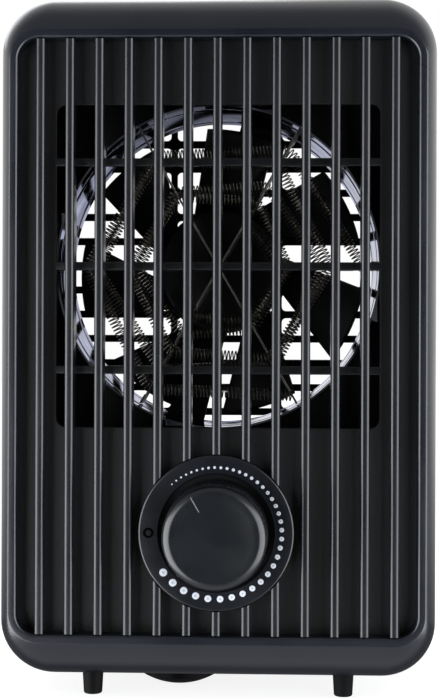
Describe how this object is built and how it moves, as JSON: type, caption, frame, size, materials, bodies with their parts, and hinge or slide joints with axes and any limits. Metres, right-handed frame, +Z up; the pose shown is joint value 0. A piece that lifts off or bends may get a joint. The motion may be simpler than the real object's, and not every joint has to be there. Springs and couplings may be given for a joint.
{
  "type": "fan heater",
  "caption": "Upright black fan heater: box case with a ribbed front grille, round dial knob, wire heating element on mica, axial fan, rear air slots and tip-over switch.",
  "frame": {"origin": "on the floor, under the middle of the heater's whole width and depth", "axes": "+X to the right seen from the front, +Y to the rear, +Z up"},
  "size_m": [0.18, 0.136, 0.2897],
  "materials": {
    "case_plastic": "fine matte moulded black plastic",
    "grille_plastic": "satin moulded black plastic",
    "dial_plastic": "satin black plastic with pale printed dots",
    "knob_plastic": "satin black plastic",
    "foot_rubber": "dull black rubber",
    "button_plastic": "polished black plastic",
    "inner_plastic": "dark heat-proof moulding",
    "fan_plastic": "black heat-proof moulding",
    "duct_steel": "bright rolled sheet",
    "mica": "dark flaky mica board",
    "heating_wire": "oxidised resistance wire",
    "zinc_steel": "dull zinc-plated steel",
    "black_steel": "blackened sheet steel",
    "rotor_iron": "laminated iron",
    "magnet_ceramic": "sintered dark grey",
    "bush_bronze": "oil-soaked sintered bronze",
    "guard_ceramic": "unglazed off-white ceramic",
    "screw_steel": "zinc-plated steel"
  },
  "bodies": {
    "case": {"housing": "case_plastic", "front_grille": "grille_plastic", "rear_cover": "case_plastic", "dial_plate": "dial_plastic", "thermostat_body": "inner_plastic", "thermostat_nut": "zinc_steel", "duct_ring": "duct_steel", "fan_shroud": "fan_plastic", "mica_strip_level": "mica", "mica_strip_right": "mica", "mica_strip_left": "mica", "heating_coil_front": "heating_wire", "heating_coil_rear": "heating_wire", "motor_can": "zinc_steel", "motor_end_cap": "inner_plastic", "motor_magnets": "magnet_ceramic", "motor_front_bush": "bush_bronze", "motor_rear_bush": "bush_bronze", "motor_bracket": "black_steel", "thermal_cutout": "guard_ceramic", "thermal_fuse": "guard_ceramic", "tip_spring": "zinc_steel", "tip_guide": "inner_plastic", "tip_switch": "inner_plastic", "cord_gland": "inner_plastic", "terminal_block": "inner_plastic", "foot_front_left": "foot_rubber", "foot_front_right": "foot_rubber", "foot_rear_left": "foot_rubber", "foot_rear_right": "foot_rubber", "grille_screws": "screw_steel", "duct_screws": "screw_steel", "strap_screws": "screw_steel", "motor_screws": "screw_steel", "rear_cover_screws": "screw_steel"},
    "fan_rotor": {"fan": "fan_plastic", "motor_shaft": "zinc_steel", "motor_rotor": "rotor_iron"},
    "knob_shaft": {"knob": "knob_plastic", "thermostat_shaft": "zinc_steel"},
    "tip_button": {"tip_plunger": "button_plastic"}
  },
  "joints": [
    {"name": "fan_spin", "type": "hinge", "parent": "case", "child": "fan_rotor", "pos_m": [0, 0, 0.1787], "axis": [0, 1, 0], "continuous": true},
    {"name": "knob_turn", "type": "hinge", "parent": "case", "child": "knob_shaft", "pos_m": [0, 0, 0.0703], "axis": [0, 1, 0], "range_deg": [-59.5, 263.5]},
    {"name": "tip_slide", "type": "slide", "parent": "case", "child": "tip_button", "axis": [0, 0, -1], "range_m": [0, 0.005], "stiffness_N_per_m": 150, "springref_m": 0.009, "deforming": ["tip_spring"]}
  ]
}
